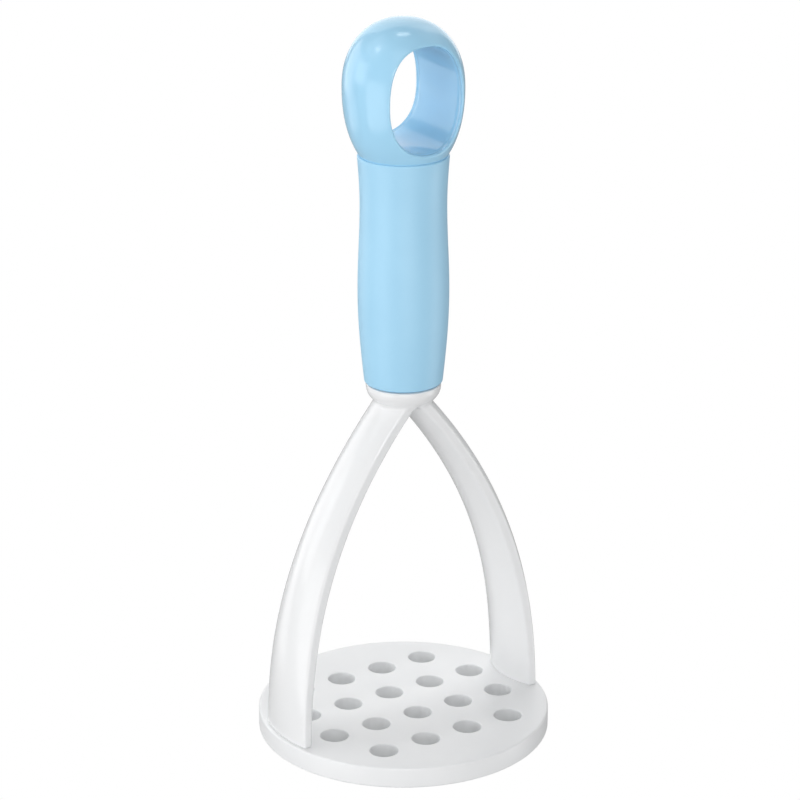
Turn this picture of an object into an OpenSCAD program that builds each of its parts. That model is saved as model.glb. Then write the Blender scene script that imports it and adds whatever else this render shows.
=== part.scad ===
// Hand potato masher: a perforated disc on a two-legged yoke, with a soft-gripped
// handle that ends in a hanging eye. Millimetres, +Z up, z = 0 on the disc's
// underside and the handle's axis on the Z axis. The legs stand apart along X and
// the hanging eye runs through along Y.

/* [Mashing disc] */
// Outer diameter of the disc
disc_d = 90; // [88:1:104]
// Thickness of the disc
disc_t = 6.6; // [5:0.2:9]
// Radius of the disc's rounded rim edges
disc_edge = 0.7; // [0.2:0.1:1.2]

/* [Mashing holes] */
// Diameter of each hole through the disc
hole_d = 8.6; // [6:0.2:10]
// Radius of the rounded edge around each hole
hole_edge = 0.6; // [0.2:0.1:1]
// Distance from hole to hole along a row
hole_step = 15; // [13.5:0.1:15]
// Distance from row to row
row_step = 16.5; // [14:0.1:16.8]

/* [Legs] */
// Distance of a foot's outer corner from the axis
foot_x = 42.3; // [41:0.1:43]
// How far towards the axis a leg has come at 100 mm above the ground
leg_reach = 31.9; // [31:0.1:33]
// How late the leg curves inwards: 2 is a parabola, more is straighter below
leg_power = 2.44; // [2.2:0.02:2.6]
// Half of a leg's width at its foot
foot_half_w = 11.4; // [9:0.1:12]
// Half of a leg's width at the neck
neck_half_w = 8.2; // [7:0.1:9]
// Thickness of a leg's side face at the foot
side_t_foot = 2.2; // [1.8:0.1:3]
// Thickness of a leg's side face at the neck
side_t_neck = 3.4; // [2.5:0.1:4]
// Bulge of the outer face at the foot
crown_foot = 1.1; // [0.5:0.1:1.6]
// Bulge of the outer face above the foot
crown_out = 3.6; // [2:0.1:4.5]
// Bulge of the inner face at the foot
crown_in_foot = 2.8; // [1.5:0.1:3]
// Bulge of the inner face above the foot
crown_in = 3.6; // [2:0.1:3.9]

/* [Collar] */
// Radius of the collar under the grip
collar_r = 11.3; // [11:0.1:12]
// Height of the collar's top face above the ground
collar_z = 113; // [112:0.5:116]
// Radius of the bowl-shaped underside's rounding
bowl_r = 5; // [4.4:0.1:6]
// Height of the collar's straight band
band_h = 0.9; // [0.4:0.1:1.5]

/* [Grip] */
// Length of the soft sleeve
grip_l = 70.4; // [66:0.2:80]
// Radius of the sleeve where it meets the collar
grip_r_foot = 11.7; // [11.6:0.1:12.4]
// Radius at the palm swell
grip_r_swell = 13.6; // [13:0.1:15]
// Radius at the finger waist
grip_r_waist = 12.85; // [12.4:0.05:13.4]
// Radius of the lip under the loop head
grip_r_lip = 13.6; // [13.3:0.1:14.2]
// Radius of the rigid core inside the sleeve
core_r = 9.4; // [8.6:0.1:10]

/* [Loop head] */
// Largest radius of the egg-shaped head
head_r = 17.9; // [17.6:0.1:19]
// Height of the head's widest level above the sleeve's end
head_mid = 20; // [19.4:0.1:20.4]
// Height of the dome above the widest level
head_up = 20.4; // [20:0.1:23]
// Semi-axis of the longer lower half of the egg
head_down = 27.3; // [26:0.1:30]
// Fullness of the egg's outline: 2 is an ellipse, more is squarer
egg_power = 2.2; // [2:0.05:2.4]
// Half of the hanging eye's width
eye_half_w = 12.1; // [10:0.1:12.6]
// Half of the hanging eye's height
eye_half_h = 15.7; // [12:0.1:15.9]
// How far the eye's centre lies below the head's widest level
eye_drop = 1.4; // [0:0.1:2]
// Fullness of the eye's outline: 2 is an ellipse, more is squarer
eye_power = 2.35; // [2:0.05:2.5]

/* [Hidden] */

white = "#f1f3f5";
core_white = "#dfe3e6";
grip_blue = "#a6d8f0";
head_blue = "#9fd3ee";

fine = 96;       // segments of a large round
small = 48;      // segments of a small round
eps = 0.05;      // overlap that keeps cuts clean

// Heights of the stations along the axis
leg_scale = 100;
neck_z = collar_z - 8;
leg_top = collar_z - band_h - 3.6;
crown_z = 54;
grip_top = collar_z + grip_l;
seat_depth = 0.8;
head_base = grip_top - seat_depth;
head_z = grip_top + head_mid;
swell_z = collar_z + 28.5;
waist_z = grip_top - 14.9;

// Holes: four rows, the outer two a hole shorter than the inner two
inner_row = 5;
outer_row = 4;

// Feet: each has a tenon that sits in a blind pocket of the disc
tenon_t = 2.4;
tenon_half_w = 8;
tenon_depth = 3;
tenon_x = foot_x - 1.6;
fit_gap = 0.1;

// Handle core: the tang and the spigot plug in and click over a bead
plug_r = 6.5;
tang_l = 30;
spigot_l = 24;
bead_r = 0.5;
bead_in = 5;
core_gap = 0.2;

function ease(t) = (1 - cos(180 * min(1, max(0, t)))) / 2;
function rise(t) = sin(90 * min(1, max(0, t)));
function mix(a, b, t) = a + (b - a) * t;
// Points of an arc round (cx, cy) from angle a0 to a1
function arc(cx, cy, r, a0, a1, n) =
    [for (i = [0:n]) let (a = mix(a0, a1, i / n)) [cx + r * cos(a), cy + r * sin(a)]];

// ---- Mashing disc -------------------------------------------------------------

module rounded_disc() {
    r = disc_d / 2;
    rotate_extrude($fn = 2 * fine)
        polygon(concat(
            [[0, 0]],
            arc(r - disc_edge, disc_edge, disc_edge, -90, 0, 6),
            arc(r - disc_edge, disc_t - disc_edge, disc_edge, 0, 90, 6),
            [[0, disc_t]]));
}

// Cutter for one hole, with rounded edges on both faces of the disc
module hole_cutter() {
    r = hole_d / 2;
    wide = r + hole_edge;
    rotate_extrude($fn = small)
        polygon(concat(
            [[0, -1], [wide, -1]],
            arc(wide, hole_edge, hole_edge, 270, 180, 5),
            arc(wide, disc_t - hole_edge, hole_edge, 180, 90, 5),
            [[wide, disc_t + 1], [0, disc_t + 1]]));
}

module hole_row(count) {
    for (i = [0:count - 1])
        translate([(i - (count - 1) / 2) * hole_step, 0, 0]) hole_cutter();
}

module mashing_disc() {
    color(white) difference() {
        rounded_disc();
        for (side = [-1, 1]) {
            translate([0, side * row_step / 2, 0]) hole_row(inner_row);
            translate([0, side * row_step * 1.5, 0]) hole_row(outer_row);
            tenon(side, fit_gap);
        }
    }
}

// ---- Yoke ---------------------------------------------------------------------

// Tenon under a foot; grow makes the pocket that it sits in
module tenon(side, grow) {
    half_t = tenon_t / 2 + grow;
    half_w = tenon_half_w + grow;
    translate([side * tenon_x - half_t, -half_w, disc_t - tenon_depth - grow])
        cube([2 * half_t, 2 * half_w, tenon_depth + grow + eps]);
}

function leg_x(z) = foot_x - leg_reach * pow(z / leg_scale, leg_power);
function leg_half_w(z) = mix(foot_half_w, neck_half_w, ease(z / neck_z));
function side_t(z) = mix(side_t_foot, side_t_neck, z / neck_z);
function out_bulge(z) = mix(crown_foot, crown_out, rise(z / crown_z));
function in_bulge(z) = mix(crown_in_foot, crown_in, rise(z / crown_z));

// One level of a leg: the crowned outer face, then the crowned inner face
crown_steps = 10;
function leg_ring(z) =
    let (x = leg_x(z), w = leg_half_w(z))
    concat(
        [for (i = [0:crown_steps]) let (s = 2 * i / crown_steps - 1)
            [x + out_bulge(z) * (1 - s * s), s * w, z]],
        [for (i = [0:crown_steps]) let (s = 1 - 2 * i / crown_steps)
            [x - side_t(z) - in_bulge(z) * (1 - s * s), s * w, z]]);

// Tube of quads, split into triangles, through rings of n points each
module loft(rings, n) {
    last = len(rings) - 1;
    walls = [for (k = [0:last - 1], i = [0:n - 1], half = [0, 1])
        let (a = k * n + i, b = k * n + (i + 1) % n)
        half == 0 ? [a, a + n, b] : [b, a + n, b + n]];
    floor_face = [[for (i = [0:n - 1]) i]];
    roof_face = [[for (i = [0:n - 1]) last * n + n - 1 - i]];
    polyhedron([for (ring = rings) for (p = ring) p], concat(walls, floor_face, roof_face));
}

leg_steps = 22;
module leg() {
    rings = [for (k = [0:leg_steps]) leg_ring(mix(disc_t, leg_top, k / leg_steps))];
    loft(rings, 2 * (crown_steps + 1));
}

module collar() {
    rotate_extrude($fn = fine)
        polygon(concat(
            [[0, collar_z - band_h - bowl_r]],
            arc(collar_r - bowl_r, collar_z - band_h, bowl_r, -90, 0, 10),
            arc(collar_r - 0.3, collar_z - 0.3, 0.3, 0, 90, 3),
            [[0, collar_z]]));
}

// Round plug with a snap bead near its end; grow makes the socket for it
module plug(length, grow) {
    cylinder(r = plug_r + grow, h = length + grow, $fn = small);
    translate([0, 0, length - bead_in])
        rotate_extrude($fn = small)
            polygon(concat([[0, -bead_r - grow]],
                arc(plug_r, 0, bead_r + grow, -90, 90, 8),
                [[0, bead_r + grow]]));
}

module yoke() {
    color(white) union() {
        leg();
        mirror([1, 0, 0]) leg();
        for (side = [-1, 1]) tenon(side, 0);
        collar();
        translate([0, 0, collar_z]) plug(tang_l, 0);
    }
}

// ---- Grip ---------------------------------------------------------------------

module grip_core() {
    color(core_white) difference() {
        translate([0, 0, collar_z])
            cylinder(r = core_r, h = head_base - collar_z - core_gap, $fn = fine);
        translate([0, 0, collar_z]) plug(tang_l, fit_gap / 2);
        translate([0, 0, head_base]) mirror([0, 0, 1]) plug(spigot_l, fit_gap / 2);
        // Bore between the two plugs, left by the core pin
        cylinder(r = plug_r - 2.5, h = head_base, $fn = small);
    }
}

function grip_r(z) =
    z < swell_z ? mix(grip_r_foot, grip_r_swell, rise((z - collar_z) / (swell_z - collar_z)))
    : z < waist_z ? mix(grip_r_swell, grip_r_waist, ease((z - swell_z) / (waist_z - swell_z)))
    : mix(grip_r_lip, grip_r_waist, rise(1 - (z - waist_z) / (grip_top - waist_z)));

grip_steps = 40;
lip_edge = 0.35;
module grip_sleeve() {
    first = collar_z + lip_edge;
    last = grip_top - lip_edge;
    seat_r = egg_r(head_base) + fit_gap;
    color(grip_blue) rotate_extrude($fn = fine)
        polygon(concat(
            [[core_r, collar_z]],
            arc(grip_r(first) - lip_edge, first, lip_edge, -90, -20, 3),
            [for (i = [0:grip_steps]) let (z = mix(first, last, i / grip_steps)) [grip_r(z), z]],
            arc(grip_r(last) - lip_edge, last, lip_edge, 20, 90, 3),
            [[seat_r, grip_top], [seat_r, head_base], [core_r, head_base]]));
}

// ---- Loop head ----------------------------------------------------------------

function egg_r(z) =
    let (h = z > head_z ? head_up : head_down, u = abs(z - head_z) / h)
    head_r * pow(max(0, 1 - pow(u, egg_power)), 1 / egg_power);

egg_steps = 24;
module egg() {
    low = head_base;
    rotate_extrude($fn = fine)
        polygon(concat(
            [[0, low]],
            [for (i = [0:egg_steps]) let (z = mix(low, head_z, rise(i / egg_steps))) [egg_r(z), z]],
            [for (i = [1:egg_steps - 1]) let (z = head_z + head_up * rise(i / egg_steps)) [egg_r(z), z]],
            [[0, head_z + head_up]]));
}

eye_steps = 72;
function oval(c) = sign(c) * pow(abs(c), 2 / eye_power);
module eye_cutter() {
    translate([0, 0, head_z - eye_drop])
        rotate([90, 0, 0])
            linear_extrude(height = 3 * head_r, center = true)
                polygon([for (i = [0:eye_steps - 1]) let (a = 360 * i / eye_steps)
                    [eye_half_w * oval(cos(a)), eye_half_h * oval(sin(a))]]);
}

module loop_head() {
    color(head_blue) union() {
        difference() {
            egg();
            eye_cutter();
        }
        translate([0, 0, head_base]) mirror([0, 0, 1]) plug(spigot_l, 0);
    }
}

mashing_disc();
yoke();
grip_core();
grip_sleeve();
loop_head();
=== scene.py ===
"""Looks of the potato masher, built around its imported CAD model.

Lengths are in millimetres until a mesh is made, and heights are above the disc's underside.
The white disc, the white yoke, the blue sleeve and the blue loop head are rebuilt here as finer
meshes with the moulded roundings that the CAD solids leave out; the hidden core stays as packed.
"""

import math

import bmesh
import bpy
import numpy as np
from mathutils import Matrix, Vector


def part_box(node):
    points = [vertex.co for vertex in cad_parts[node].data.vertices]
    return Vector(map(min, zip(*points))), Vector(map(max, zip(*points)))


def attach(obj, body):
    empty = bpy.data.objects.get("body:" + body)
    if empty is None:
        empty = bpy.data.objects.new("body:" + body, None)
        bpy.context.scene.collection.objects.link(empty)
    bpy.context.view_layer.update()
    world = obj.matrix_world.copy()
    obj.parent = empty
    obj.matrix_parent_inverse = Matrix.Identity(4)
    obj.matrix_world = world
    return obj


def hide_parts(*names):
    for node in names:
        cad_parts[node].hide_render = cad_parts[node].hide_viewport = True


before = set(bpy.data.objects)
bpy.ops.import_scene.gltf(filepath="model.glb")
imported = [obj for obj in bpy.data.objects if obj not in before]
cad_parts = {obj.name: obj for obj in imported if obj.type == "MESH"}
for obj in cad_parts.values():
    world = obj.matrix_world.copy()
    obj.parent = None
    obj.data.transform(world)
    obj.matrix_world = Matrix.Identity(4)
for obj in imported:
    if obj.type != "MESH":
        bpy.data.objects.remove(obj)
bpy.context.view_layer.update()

MM = 0.001
SHARP_ANGLE = 40  # degrees; edges bent more than this are shaded sharp
TINY = 1e-6       # guard against dividing by zero
SAME_HEIGHT = 1e-5


# ---- Stations of the frame ------------------------------------------------------------


def box_mm(node):
    """Lowest and highest corner of a CAD node, in millimetres."""
    low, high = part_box(node)
    return np.array(low) / MM, np.array(high) / MM


DISC_R, _, DISC_T = box_mm("mashing_disc")[1]
_, FOOT_HALF_W, TANG_TOP = box_mm("yoke")[1]
COLLAR_Z, GRIP_TOP = (corner[2] for corner in box_mm("grip_sleeve"))
SPIGOT_LOW = box_mm("loop_head")[0][2]
HEAD_R, _, HEAD_TOP = box_mm("loop_head")[1]
CORE_R = box_mm("grip_core")[1][0]

# Disc
DISC_EDGE = 0.7
HOLE_R, HOLE_EDGE = 4.3, 0.3
HOLE_STEP, ROW_STEP = 15.0, 16.5
ROWS = ((-1.5, 4), (-0.5, 5), (0.5, 5), (1.5, 4))  # place in row steps, holes
RIM_SEGMENTS, HOLE_SEGMENTS = 256, 64

# Legs, as horizontal sections: a crowned outer face, a crowned inner face, two side faces
FOOT_X = 42.3
LEG_REACH, LEG_POWER, LEG_SCALE = 31.9, 2.44, 100.0
NECK_HALF_W = 8.2
SIDE_T_FOOT, SIDE_T_NECK = 2.2, 3.4
CROWN_FOOT, CROWN_OUT = 1.1, 3.6
CROWN_IN_FOOT, CROWN_IN = 2.8, 3.6
CROWN_Z = 54.0
NECK_Z, LEG_TOP = COLLAR_Z - 8, COLLAR_Z - 4.5
LEG_EDGE = 0.5     # rounding along the legs' four long edges
FOOT_EDGE = 0.2    # bevel round the foot, where it stands on the disc
CROTCH_R = 0.35    # rounding where the two inner faces meet
BOWL_FILLET = 1.5  # rounding between the legs and the collar's bowl
TENON_X, TENON_HALF, TENON_DEPTH = FOOT_X - 1.6, (1.2, 8.0), 3.0
POCKET_GAP = 0.1
YOKE_CELL = 0.44   # size of the yoke's quads

# Collar and tang
COLLAR_R, BOWL_R, BAND_H, BAND_EDGE = 11.3, 5.0, 0.9, 0.3
PLUG_R, BEAD_R, BEAD_IN, PLUG_EDGE = 6.5, 0.5, 5.0, 0.4
TANG_ROOT, SPIGOT_ROOT = 2, 1.5  # how far the tang and the spigot reach into their pieces

# Sleeve
SLEEVE_FOOT_R, SWELL_R, WAIST_R, LIP_R = 11.7, 13.6, 12.85, 13.6
SWELL_Z, WAIST_Z = COLLAR_Z + 28.5, GRIP_TOP - 14.9
SLEEVE_EDGE, LIP_EDGE = 0.25, 0.5
GROOVE_R, GROOVE_H = 10.2, 0.6  # shadow groove between the sleeve and the collar
SEAT_DEPTH, SEAT_GAP = 0.8, 0.1  # hollow in the sleeve's top that the head sits in
SLEEVE_SEGMENTS, SLEEVE_LEVELS = 144, 72

# Loop head: an egg with an upright oval eye
HEAD_Z = GRIP_TOP + 20.0
EGG_UP, EGG_DOWN, EGG_POWER = HEAD_TOP - HEAD_Z, 27.3, 2.2
HEAD_BASE = GRIP_TOP - SEAT_DEPTH
EYE_HALF_W, EYE_HALF_H, EYE_Z = 12.1, 15.7, HEAD_Z - 1.4
EYE_POWER = 2.35
EYE_EDGE = 1.0
RIM_IN, RIM_WIDTH, RIM_DEPTH = 1.5, 0.45, 0.16  # fine groove in the eye's wall, inside its rim
HEAD_CELL = 0.37   # size of the head's quads


# ---- Shape tools ----------------------------------------------------------------------


def mix(a, b, t):
    return a + (b - a) * t


def ease(t):
    """From 0 to 1, level at both ends."""
    return (1 - np.cos(np.pi * np.clip(t, 0, 1))) / 2


def rise(t):
    """From 0 to 1, level at the end only."""
    return np.sin(np.pi / 2 * np.clip(t, 0, 1))


def arc(cx, cy, r, start, end, steps):
    """Points of an arc round (cx, cy), angles in degrees."""
    turns = np.radians(np.linspace(start, end, steps + 1))
    return [(cx + r * math.cos(a), cy + r * math.sin(a)) for a in turns]


def round_max(a, b, r):
    """Both of two solids, given as distances, with the edge between them rounded."""
    corner = np.hypot(np.maximum(r + a, 0), np.maximum(r + b, 0))
    return np.minimum(-r, np.maximum(a, b)) + corner


def round_min(a, b, r):
    """Either of two solids, given as distances, with the inner corner filled by a fillet."""
    return -round_max(-a, -b, r)


def slope_of(field, p, step=0.01):
    """Gradient of a field at points p."""
    columns = []
    for k in range(3):
        d = np.zeros(3)
        d[k] = step
        columns.append((field(p + d) - field(p - d)) / (2 * step))
    return np.stack(columns, axis=1)


def onto_surface(field, p, rounds):
    """Points p moved onto the field's zero surface, along its gradient."""
    for _ in range(rounds):
        g = slope_of(field, p)
        p = p - field(p)[:, None] * g / np.maximum((g * g).sum(1), TINY)[:, None]
    return p


def net_cells(inside):
    """Surface nets: the cells that the surface crosses, and the quads between them."""
    corners = np.zeros(tuple(n - 1 for n in inside.shape), np.int8)
    for i in (0, 1):
        for j in (0, 1):
            for k in (0, 1):
                corners += inside[
                    i : inside.shape[0] - 1 + i,
                    j : inside.shape[1] - 1 + j,
                    k : inside.shape[2] - 1 + k,
                ]
    crossed = (corners > 0) & (corners < 8)
    number = np.full(crossed.shape, -1, np.int64)
    number[crossed] = np.arange(crossed.sum())
    quads = []
    for axis in range(3):
        near = np.moveaxis(inside, axis, 0)
        cell = np.moveaxis(number, axis, 0)
        first, second = near[:-1, 1:-1, 1:-1], near[1:, 1:-1, 1:-1]
        turn = -1 if axis == 1 else 1  # moving the Y axis to the front mirrors the grid
        for way, edge in ((turn, first & ~second), (-turn, ~first & second)):
            i, j, k = np.nonzero(edge)
            ring = [cell[i, j, k], cell[i, j + 1, k], cell[i, j + 1, k + 1], cell[i, j, k + 1]]
            quads.append(np.stack(ring[::way], axis=1))
    return np.argwhere(crossed), np.concatenate(quads)


def skin(field, low, high, cell, relax=4):
    """Closed quad mesh of a field's zero surface in a box: its points, normals and quads.
    The grid is even about x = 0 and y = 0, so a symmetric field gives a symmetric mesh."""
    axes = []
    for k in range(3):
        if k < 2:
            n = math.ceil(high[k] / cell)
            axes.append((np.arange(-n, n) + 0.5) * cell)
        else:
            axes.append(np.arange(low[k], high[k] + cell, cell))
    inside = np.empty([len(a) for a in axes], bool)
    for k, z in enumerate(axes[2]):
        x, y = np.meshgrid(axes[0], axes[1], indexing="ij")
        layer = np.stack([x.ravel(), y.ravel(), np.full(x.size, z)], axis=1)
        inside[:, :, k] = (field(layer) < 0).reshape(x.shape)
    cells, quads = net_cells(inside)
    start = np.array([a[0] for a in axes])
    p = onto_surface(field, start + (cells + 0.5) * cell, 6)
    edges = np.concatenate([quads[:, [i, (i + 1) % 4]] for i in range(4)])
    count = np.bincount(edges.ravel(), minlength=len(p))[:, None]
    for _ in range(relax):
        total = np.zeros_like(p)
        np.add.at(total, edges[:, 0], p[edges[:, 1]])
        np.add.at(total, edges[:, 1], p[edges[:, 0]])
        p = onto_surface(field, mix(p, total / np.maximum(count, 1), 0.5), 2)
    p = onto_surface(field, p, 2)
    g = slope_of(field, p)
    return p, g / np.linalg.norm(g, axis=1)[:, None], quads


def piece(name, points, faces, material, node, normals=None):
    """A named piece that stands for a CAD node and rides on the masher's one body.
    The points may bring their normals, and a point whose normal is zero makes its faces flat."""
    mesh = bpy.data.meshes.new(name)
    mesh.from_pydata((np.asarray(points) * MM).tolist(), [], [list(f) for f in faces])
    mesh.shade_smooth()
    if normals is None:
        mesh.set_sharp_from_angle(angle=math.radians(SHARP_ANGLE))
    else:
        corners = np.concatenate([normals[list(f)] for f in faces])
        for face in mesh.polygons:
            own = slice(face.loop_start, face.loop_start + face.loop_total)
            if not corners[own].any(axis=1).all():
                corners[own] = face.normal
        mesh.normals_split_custom_set(corners.tolist())
    mesh.materials.append(material)
    made = bpy.data.objects.new(name, mesh)
    bpy.context.scene.collection.objects.link(made)
    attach(made, "root")
    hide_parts(node)
    return made


def lathe(profile, segments):
    """Points and quads of a closed (radius, height) profile turned about the axis.
    The profile runs anticlockwise, with its solid on the left."""
    turns = np.linspace(0, 2 * math.pi, segments, endpoint=False)
    n = len(profile)
    points = [
        (r * math.cos(a), r * math.sin(a), z) for a in turns for r, z in profile
    ]
    faces = []
    for s in range(segments):
        here, there = s * n, (s + 1) % segments * n
        for i in range(n):
            j = (i + 1) % n
            faces.append((here + i, there + i, there + j, here + j))
    return points, faces


# ---- Mashing disc ---------------------------------------------------------------------


def hole_centres():
    for place, count in ROWS:
        for i in range(count):
            yield (i - (count - 1) / 2) * HOLE_STEP, place * ROW_STEP


def closed(bm):
    """Points and faces of a closed bmesh, with its faces turned outwards."""
    bmesh.ops.recalc_face_normals(bm, faces=bm.faces)
    bm.verts.index_update()
    points = np.array([v.co for v in bm.verts])
    faces = [[v.index for v in f.verts] for f in bm.faces]
    bm.free()
    return points, faces


def add_rings(bm, centre, profile, segments):
    """Rings of quads round a centre through a (radius, height) profile from the top face
    to the bottom face. Returns the first and last ring's edges."""
    rings = []
    for r, z in profile:
        ring = []
        for s in range(segments):
            a = 2 * math.pi * s / segments
            at = (centre[0] + r * math.cos(a), centre[1] + r * math.sin(a), z)
            ring.append(bm.verts.new(at))
        rings.append(ring)
    for upper, lower in zip(rings, rings[1:]):
        for s in range(segments):
            t = (s + 1) % segments
            bm.faces.new((upper[s], lower[s], lower[t], upper[t]))
    loops = []
    for ring in (rings[0], rings[-1]):
        loops.append([bm.edges.get((ring[s], ring[s - 1])) for s in range(segments)])
    return loops


def tenon_walls(bm, side, grow):
    """Walls and sole of a foot's tenon, or of its pocket when it grows. Returns the top edges."""
    corners = []
    for level in (DISC_T, DISC_T - TENON_DEPTH - grow):
        for a, b in ((-1, -1), (1, -1), (1, 1), (-1, 1)):
            x = side * TENON_X + a * (TENON_HALF[0] + grow)
            corners.append(bm.verts.new((x, b * (TENON_HALF[1] + grow), level)))
    for i in range(4):
        j = (i + 1) % 4
        bm.faces.new((corners[i], corners[i + 4], corners[j + 4], corners[j]))
    bm.faces.new(corners[:3:-1])
    return [bm.edges.get((corners[i], corners[(i + 1) % 4])) for i in range(4)]


def disc_mesh():
    bm = bmesh.new()
    rim = arc(DISC_R - DISC_EDGE, DISC_T - DISC_EDGE, DISC_EDGE, 90, 0, 8)
    rim += arc(DISC_R - DISC_EDGE, DISC_EDGE, DISC_EDGE, 0, -90, 8)
    wide = HOLE_R + HOLE_EDGE
    bore = arc(wide, DISC_T - HOLE_EDGE, HOLE_EDGE, 90, 180, 7)
    bore += arc(wide, HOLE_EDGE, HOLE_EDGE, 180, 270, 7)
    tops, bottoms = [], []
    top, bottom = add_rings(bm, (0, 0), rim, RIM_SEGMENTS)
    tops += top
    bottoms += bottom
    for centre in hole_centres():
        top, bottom = add_rings(bm, centre, bore, HOLE_SEGMENTS)
        tops += top
        bottoms += bottom
    for side in (-1, 1):
        tops += tenon_walls(bm, side, POCKET_GAP)
    for loops, up in ((tops, 1), (bottoms, -1)):
        bmesh.ops.triangle_fill(bm, edges=loops, use_beauty=True, normal=(0, 0, up))
    return closed(bm)


# ---- Yoke -----------------------------------------------------------------------------


def leg_x(z):
    return FOOT_X - LEG_REACH * (np.maximum(z, 0) / LEG_SCALE) ** LEG_POWER


def leg_field(x, y, z):
    """Distance to the leg on the +X side."""
    w = mix(FOOT_HALF_W, NECK_HALF_W, ease(z / NECK_Z))
    side_t = mix(SIDE_T_FOOT, SIDE_T_NECK, z / NECK_Z)
    out_bulge = mix(CROWN_FOOT, CROWN_OUT, rise(z / CROWN_Z))
    in_bulge = mix(CROWN_IN_FOOT, CROWN_IN, rise(z / CROWN_Z))
    crown = 1 - (y / w) ** 2
    lean = LEG_REACH * LEG_POWER / LEG_SCALE
    lean = lean * (np.maximum(z, 0) / LEG_SCALE) ** (LEG_POWER - 1)
    x0 = leg_x(z)
    outer = (x - x0 - out_bulge * crown) / np.sqrt(
        1 + lean**2 + (2 * out_bulge * y / w**2) ** 2
    )
    inner = (x0 - side_t - in_bulge * crown - x) / np.sqrt(
        1 + lean**2 + (2 * in_bulge * y / w**2) ** 2
    )
    side = np.abs(y) - w
    flat = np.maximum(round_max(outer, side, LEG_EDGE), round_max(inner, side, LEG_EDGE))
    return np.maximum(flat, z - LEG_TOP)


def plug_field(rho, z, end, way):
    """Distance to a round plug along the axis, with its snap bead; way is where it points."""
    shaft = round_max(rho - PLUG_R, (z - end) * way, PLUG_EDGE)
    bead = np.hypot(rho - PLUG_R, z - end + way * BEAD_IN) - BEAD_R
    return np.minimum(shaft, bead)


def yoke_field(p):
    x, y, z = p.T
    rho = np.hypot(x, y)
    legs = round_min(leg_field(x, y, z), leg_field(-x, y, z), CROTCH_R)
    a, b = rho - (COLLAR_R - BOWL_R), COLLAR_Z - BAND_H - z
    bowl = np.hypot(np.maximum(a, 0), np.maximum(b, 0)) - BOWL_R
    bowl = bowl + np.minimum(np.maximum(a, b), 0)
    collar = round_max(bowl, z - COLLAR_Z, BAND_EDGE)
    body = round_min(legs, collar, BOWL_FILLET)
    tang = np.maximum(plug_field(rho, z, TANG_TOP, 1), COLLAR_Z - TANG_ROOT - z)
    return np.minimum(np.maximum(body, z - COLLAR_Z), tang)


def foot(bm, cut, side):
    """Closes a leg's open end: a bevel down to the disc, a level sole, and the tenon."""
    rim = [e for e in cut if e.verts[0].co.x * side > 0]
    bevel = bmesh.ops.extrude_edge_only(bm, edges=rim)["geom"]
    moved = [v for v in bevel if isinstance(v, bmesh.types.BMVert)]
    inward = -slope_of(yoke_field, np.array([v.co for v in moved]))
    for v, way in zip(moved, inward):
        v.co += Vector((way[0], way[1], 0)).normalized() * FOOT_EDGE
        v.co.z = DISC_T
    sole = [e for e in bevel if isinstance(e, bmesh.types.BMEdge) and e.is_boundary]
    sole = [e for e in sole if all(abs(v.co.z - DISC_T) < SAME_HEIGHT for v in e.verts)]
    sole += tenon_walls(bm, side, 0)
    bmesh.ops.triangle_fill(bm, edges=sole, use_beauty=True, normal=(0, 0, -1))


def yoke_mesh():
    """The yoke's skin, cut level just above the disc and closed there by the two feet."""
    low = (0, 0, DISC_T - 1.5)
    high = (FOOT_X + 5, FOOT_HALF_W + 1, TANG_TOP + 1)
    points, _, quads = skin(yoke_field, low, high, YOKE_CELL)
    bm = bmesh.new()
    verts = [bm.verts.new(p) for p in points]
    for quad in quads:
        bm.faces.new([verts[i] for i in quad])
    level = DISC_T + FOOT_EDGE
    everything = bm.verts[:] + bm.edges[:] + bm.faces[:]
    bmesh.ops.bisect_plane(
        bm, geom=everything, dist=0.02, plane_co=(0, 0, level), plane_no=(0, 0, 1), clear_inner=True
    )
    cut = [e for e in bm.edges if e.is_boundary]
    for side in (-1, 1):
        foot(bm, cut, side)
    points, faces = closed(bm)
    g = slope_of(yoke_field, points)
    normals = g / np.maximum(np.linalg.norm(g, axis=1), TINY)[:, None]
    normals[points[:, 2] < level - FOOT_EDGE / 20] = 0
    return points, faces, normals


# ---- Sleeve ---------------------------------------------------------------------------


def sleeve_r(z):
    low = mix(SLEEVE_FOOT_R, SWELL_R, rise((z - COLLAR_Z) / (SWELL_Z - COLLAR_Z)))
    middle = mix(SWELL_R, WAIST_R, ease((z - SWELL_Z) / (WAIST_Z - SWELL_Z)))
    high = mix(LIP_R, WAIST_R, rise(1 - (z - WAIST_Z) / (GRIP_TOP - WAIST_Z)))
    return np.where(z < SWELL_Z, low, np.where(z < WAIST_Z, middle, high))


def egg_r(z):
    height = EGG_UP if z > HEAD_Z else EGG_DOWN
    return HEAD_R * (1 - (abs(z - HEAD_Z) / height) ** EGG_POWER) ** (1 / EGG_POWER)


def sleeve_mesh():
    first, last = COLLAR_Z + GROOVE_H + SLEEVE_EDGE, GRIP_TOP - LIP_EDGE
    seat_r = egg_r(HEAD_BASE) + SEAT_GAP
    levels = np.linspace(first, last, SLEEVE_LEVELS)
    profile = [(CORE_R, HEAD_BASE), (CORE_R, COLLAR_Z), (GROOVE_R, COLLAR_Z)]
    profile += [(GROOVE_R, COLLAR_Z + GROOVE_H)]
    profile += arc(sleeve_r(first) - SLEEVE_EDGE, first, SLEEVE_EDGE, -90, 0, 5)[:-1]
    profile += [(float(sleeve_r(z)), float(z)) for z in levels]
    profile += arc(float(sleeve_r(last)) - LIP_EDGE, last, LIP_EDGE, 0, 90, 6)[1:]
    profile += [(seat_r, GRIP_TOP), (seat_r, HEAD_BASE)]
    return lathe(profile, SLEEVE_SEGMENTS)


# ---- Loop head ------------------------------------------------------------------------


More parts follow.
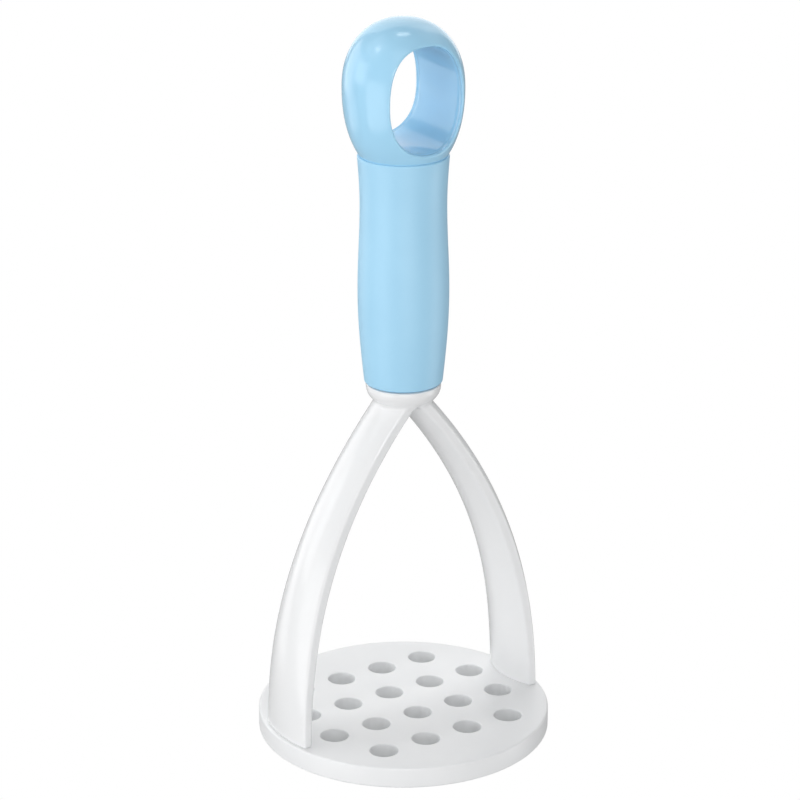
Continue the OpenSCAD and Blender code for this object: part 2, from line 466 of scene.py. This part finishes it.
def oval(u, v, power):
    """Distance to the unit of a superellipse, from coordinates with their semi-axes."""
    (a, half_a), (b, half_b) = u, v
    a, b = np.abs(a) / half_a, np.abs(b) / half_b
    size = np.maximum(a**power + b**power, TINY)
    steep = np.hypot(a ** (power - 1) / half_a, b ** (power - 1) / half_b)
    steep = np.maximum(steep * size ** (1 / power - 1), 1e-3)
    return (size ** (1 / power) - 1) / steep


def head_field(p):
    x, y, z = p.T
    rho = np.hypot(x, y)
    half_h = np.where(z > HEAD_Z, EGG_UP, EGG_DOWN)
    egg = oval((rho, HEAD_R), (z - HEAD_Z, half_h), EGG_POWER)
    eye = -oval((x, EYE_HALF_W), (z - EYE_Z, EYE_HALF_H), EYE_POWER)
    eye = eye + RIM_DEPTH * np.exp(-(((egg + RIM_IN) / RIM_WIDTH) ** 2))
    ring = np.maximum(round_max(egg, eye, EYE_EDGE), HEAD_BASE - z)
    spigot = np.maximum(plug_field(rho, z, SPIGOT_LOW, -1), z - HEAD_BASE - SPIGOT_ROOT)
    return np.minimum(ring, spigot)


def head_mesh():
    low = (0, 0, SPIGOT_LOW - 1.2)
    high = (HEAD_R + 1, HEAD_R + 1, HEAD_TOP + 1)
    return skin(head_field, low, high, HEAD_CELL)


# ---- Materials ------------------------------------------------------------------------

PLASTIC_IOR = 1.49
COLOUR_BLOT, GLOSS_BLOT = 0.018, 0.004  # metres across

def noise(tree, size, detail):
    """Noise from 0 to 1 with blots of a given size in metres, fixed to the piece."""
    where = tree.nodes.new("ShaderNodeTexCoord")
    made = tree.nodes.new("ShaderNodeTexNoise")
    made.inputs["Scale"].default_value = 1 / size
    made.inputs["Detail"].default_value = detail
    tree.links.new(where.outputs["Object"], made.inputs["Vector"])
    return made.outputs["Fac"]


def between(tree, amount, low, high):
    """A number that follows a noise from low to high."""
    made = tree.nodes.new("ShaderNodeMapRange")
    made.inputs["From Min"].default_value = 0.3
    made.inputs["From Max"].default_value = 0.7
    made.inputs["To Min"].default_value = low
    made.inputs["To Max"].default_value = high
    tree.links.new(amount, made.inputs["Value"])
    return made.outputs["Result"]


def bump(tree, height, depth, under=None):
    """Relief of a given depth in metres, on top of another relief."""
    made = tree.nodes.new("ShaderNodeBump")
    made.inputs["Strength"].default_value = 1
    made.inputs["Distance"].default_value = depth
    tree.links.new(height, made.inputs["Height"])
    if under is not None:
        tree.links.new(under, made.inputs["Normal"])
    return made.outputs["Normal"]


def plastic(name, colour, cast, rough, grain, ripple):
    """Moulded plastic. Its colour drifts a little towards the cast, its gloss is uneven between
    the two roughnesses, and its skin has a fine grain on a shallow ripple, each (size, depth)."""
    made = bpy.data.materials.new(name)
    made.use_nodes = True
    tree = made.node_tree
    shader = tree.nodes["Principled BSDF"]
    tint = tree.nodes.new("ShaderNodeMix")
    tint.data_type = "RGBA"
    tint.inputs["A"].default_value = (*colour, 1)
    tint.inputs["B"].default_value = (*cast, 1)
    tree.links.new(between(tree, noise(tree, COLOUR_BLOT, 3), 0, 1), tint.inputs["Factor"])
    tree.links.new(tint.outputs["Result"], shader.inputs["Base Color"])
    tree.links.new(between(tree, noise(tree, GLOSS_BLOT, 4), *rough), shader.inputs["Roughness"])
    relief = bump(tree, noise(tree, ripple[0], 1), ripple[1])
    relief = bump(tree, noise(tree, grain[0], 2), grain[1], relief)
    tree.links.new(relief, shader.inputs["Normal"])
    shader.inputs["IOR"].default_value = PLASTIC_IOR
    return made


disc_white = plastic(
    "disc_white",
    colour=(0.86, 0.868, 0.875),
    cast=(0.84, 0.85, 0.86),
    rough=(0.3, 0.38),
    grain=(0.0004, 0.000006),
    ripple=(0.008, 0.00001),
)
yoke_white = plastic(
    "yoke_white",
    colour=(0.856, 0.862, 0.868),
    cast=(0.84, 0.848, 0.857),
    rough=(0.15, 0.2),
    grain=(0.0005, 0.000003),
    ripple=(0.01, 0.00001),
)
core_natural = plastic(
    "core_natural",
    colour=(0.78, 0.79, 0.78),
    cast=(0.74, 0.75, 0.74),
    rough=(0.45, 0.6),
    grain=(0.0006, 0.00001),
    ripple=(0.01, 0.00002),
)
sleeve_blue = plastic(
    "sleeve_blue",
    colour=(0.39, 0.69, 0.9),
    cast=(0.372, 0.668, 0.882),
    rough=(0.36, 0.44),
    grain=(0.00035, 0.000009),
    ripple=(0.007, 0.000012),
)
head_blue = plastic(
    "head_blue",
    colour=(0.385, 0.69, 0.905),
    cast=(0.372, 0.672, 0.89),
    rough=(0.14, 0.19),
    grain=(0.0007, 0.000001),
    ripple=(0.006, 0.000012),
)

points, faces = disc_mesh()
piece("disc", points, faces, disc_white, "mashing_disc")
points, faces, normals = yoke_mesh()
piece("yoke_body", points, faces, yoke_white, "yoke", normals)
points, faces = sleeve_mesh()
piece("sleeve", points, faces, sleeve_blue, "grip_sleeve")
points, normals, quads = head_mesh()
piece("head", points, quads, head_blue, "loop_head", normals)

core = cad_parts["grip_core"]
core.data.materials.clear()
core.data.materials.append(core_natural)


# ---- Stage, light and camera ----------------------------------------------------------

# Metres and degrees from here on, apart from the holes of the disc.
CAMERA_AZIMUTH = -32.2  # from the -Y side towards -X
CAMERA_OUT, CAMERA_UP, CAMERA_TILT = 0.844, 0.41987, 20.351
LIGHT_CENTRE = 0.11     # height that the lamps point at
WORLD_LIGHT = 0.34
STAGE_HALF = 4.0
FLOOR_Z = -0.0005
SPOT_SEGMENTS = 24


def glow(name):
    """Plain white light from the front of a surface; its back is clear, for views from below."""
    made = bpy.data.materials.new(name)
    made.use_nodes = True
    tree = made.node_tree
    tree.nodes.clear()
    front = tree.nodes.new("ShaderNodeEmission")
    back = tree.nodes.new("ShaderNodeBsdfTransparent")
    side = tree.nodes.new("ShaderNodeNewGeometry")
    either = tree.nodes.new("ShaderNodeMixShader")
    out = tree.nodes.new("ShaderNodeOutputMaterial")
    tree.links.new(side.outputs["Backfacing"], either.inputs["Fac"])
    tree.links.new(front.outputs["Emission"], either.inputs[1])
    tree.links.new(back.outputs["BSDF"], either.inputs[2])
    tree.links.new(either.outputs["Shader"], out.inputs["Surface"])
    return made


def backdrop(name, points, faces):
    """Pure white surface that only the camera sees, so it neither lights nor shades the masher."""
    mesh = bpy.data.meshes.new(name)
    mesh.from_pydata(points, [], faces)
    mesh.materials.append(glow(name))
    made = bpy.data.objects.new(name, mesh)
    bpy.context.scene.collection.objects.link(made)
    made.visible_diffuse = made.visible_glossy = made.visible_transmission = False
    made.visible_shadow = False


def room(half, low, high):
    """Corners and faces of four walls and a ceiling that face inwards, and of the floor."""
    square = ((-half, -half), (half, -half), (half, half), (-half, half))
    points = [(x, y, z) for z in (low, high) for x, y in square]
    walls = [(i + 4, (i + 1) % 4 + 4, (i + 1) % 4, i) for i in range(4)]
    return points, walls + [(7, 6, 5, 4)], [(0, 1, 2, 3)]


def table_spots():
    """The table under each hole of the disc. The camera doesn't see it: it only keeps the
    light that comes up through the floor out of the holes."""
    bm = bmesh.new()
    for x, y in hole_centres():
        ring = []
        for a in np.linspace(0, 2 * math.pi, SPOT_SEGMENTS, endpoint=False):
            at = Vector((x + HOLE_R * math.cos(a), y + HOLE_R * math.sin(a), 0)) * MM
            at.z = FLOOR_Z / 2
            ring.append(bm.verts.new(at))
        bm.faces.new(ring)
    mesh = bpy.data.meshes.new("table_spots")
    bm.to_mesh(mesh)
    bm.free()
    mesh.materials.append(core_natural)
    made = bpy.data.objects.new("table_spots", mesh)
    bpy.context.scene.collection.objects.link(made)
    made.visible_camera = False


def softbox(name, azimuth, elevation, distance, width, height, power):
    """Rectangular lamp that faces the masher's middle; azimuth 0 is the camera's side."""
    a, e = math.radians(azimuth + CAMERA_AZIMUTH), math.radians(elevation)
    away = Vector((math.sin(a) * math.cos(e), -math.cos(a) * math.cos(e), math.sin(e)))
    lamp = bpy.data.lights.new(name, "AREA")
    lamp.shape = "RECTANGLE"
    lamp.size, lamp.size_y, lamp.energy = width, height, power
    made = bpy.data.objects.new(name, lamp)
    bpy.context.scene.collection.objects.link(made)
    made.location = Vector((0, 0, LIGHT_CENTRE)) + away * distance
    made.rotation_euler = away.to_track_quat("Z", "Y").to_euler()


corners, walls, ground = room(STAGE_HALF, FLOOR_Z, STAGE_HALF)
backdrop("floor", corners, ground)
backdrop("studio_walls", corners, walls)
table_spots()

# Azimuth, elevation, distance, width, height, power in watts. The boxes below the horizon
# light the masher through the floor, which casts no shadow.
softbox("front_fill", 10, -5, 1.3, 1.0, 0.9, 5.1)
softbox("left_key", -52, -10, 1.0, 0.75, 0.7, 3.05)
softbox("left_side", -90, 14, 1.0, 0.5, 0.45, 1.4)
softbox("left_back", -125, 9, 1.0, 0.6, 0.66, 1.8)
softbox("left_back_low", -116, -16, 1.0, 0.5, 0.25, 0.38)
softbox("back", 180, 27, 1.0, 1.1, 1.15, 4.3)
softbox("right_low", 90, -17, 1.0, 0.5, 0.5, 1.6)
softbox("front_high", 0, 50, 1.0, 0.65, 0.55, 0.9)
softbox("left_high", -90, 50, 1.0, 0.65, 0.55, 0.8)
softbox("right_back_high", 135, 50, 1.0, 0.65, 0.55, 0.5)
softbox("overhead", -176, 80, 1.0, 0.25, 0.12, 0.6)
softbox("left_spot", -80, 51, 1.0, 0.12, 0.12, 0.32)
softbox("front_spot", 4, 21, 1.0, 0.18, 0.18, 1.3)

world = bpy.data.worlds.new("studio")
world.use_nodes = True
world.node_tree.nodes["Background"].inputs["Strength"].default_value = WORLD_LIGHT
world.node_tree.nodes["Background"].inputs["Color"].default_value = (1, 1, 1, 1)
bpy.context.scene.world = world
bpy.context.scene.view_settings.view_transform = "Standard"

camera_data = bpy.data.cameras.new("camera")
camera = bpy.data.objects.new("camera", camera_data)
bpy.context.scene.collection.objects.link(camera)
camera_data.lens = 134.98
camera_data.sensor_width = 36
camera_data.shift_x = -0.0043
camera_data.shift_y = 0.0006
camera_data.clip_end = 20
around = math.radians(CAMERA_AZIMUTH)
camera.location = (CAMERA_OUT * math.sin(around), -CAMERA_OUT * math.cos(around), CAMERA_UP)
camera.rotation_euler = (math.radians(90 - CAMERA_TILT), 0, around)
bpy.context.scene.camera = camera
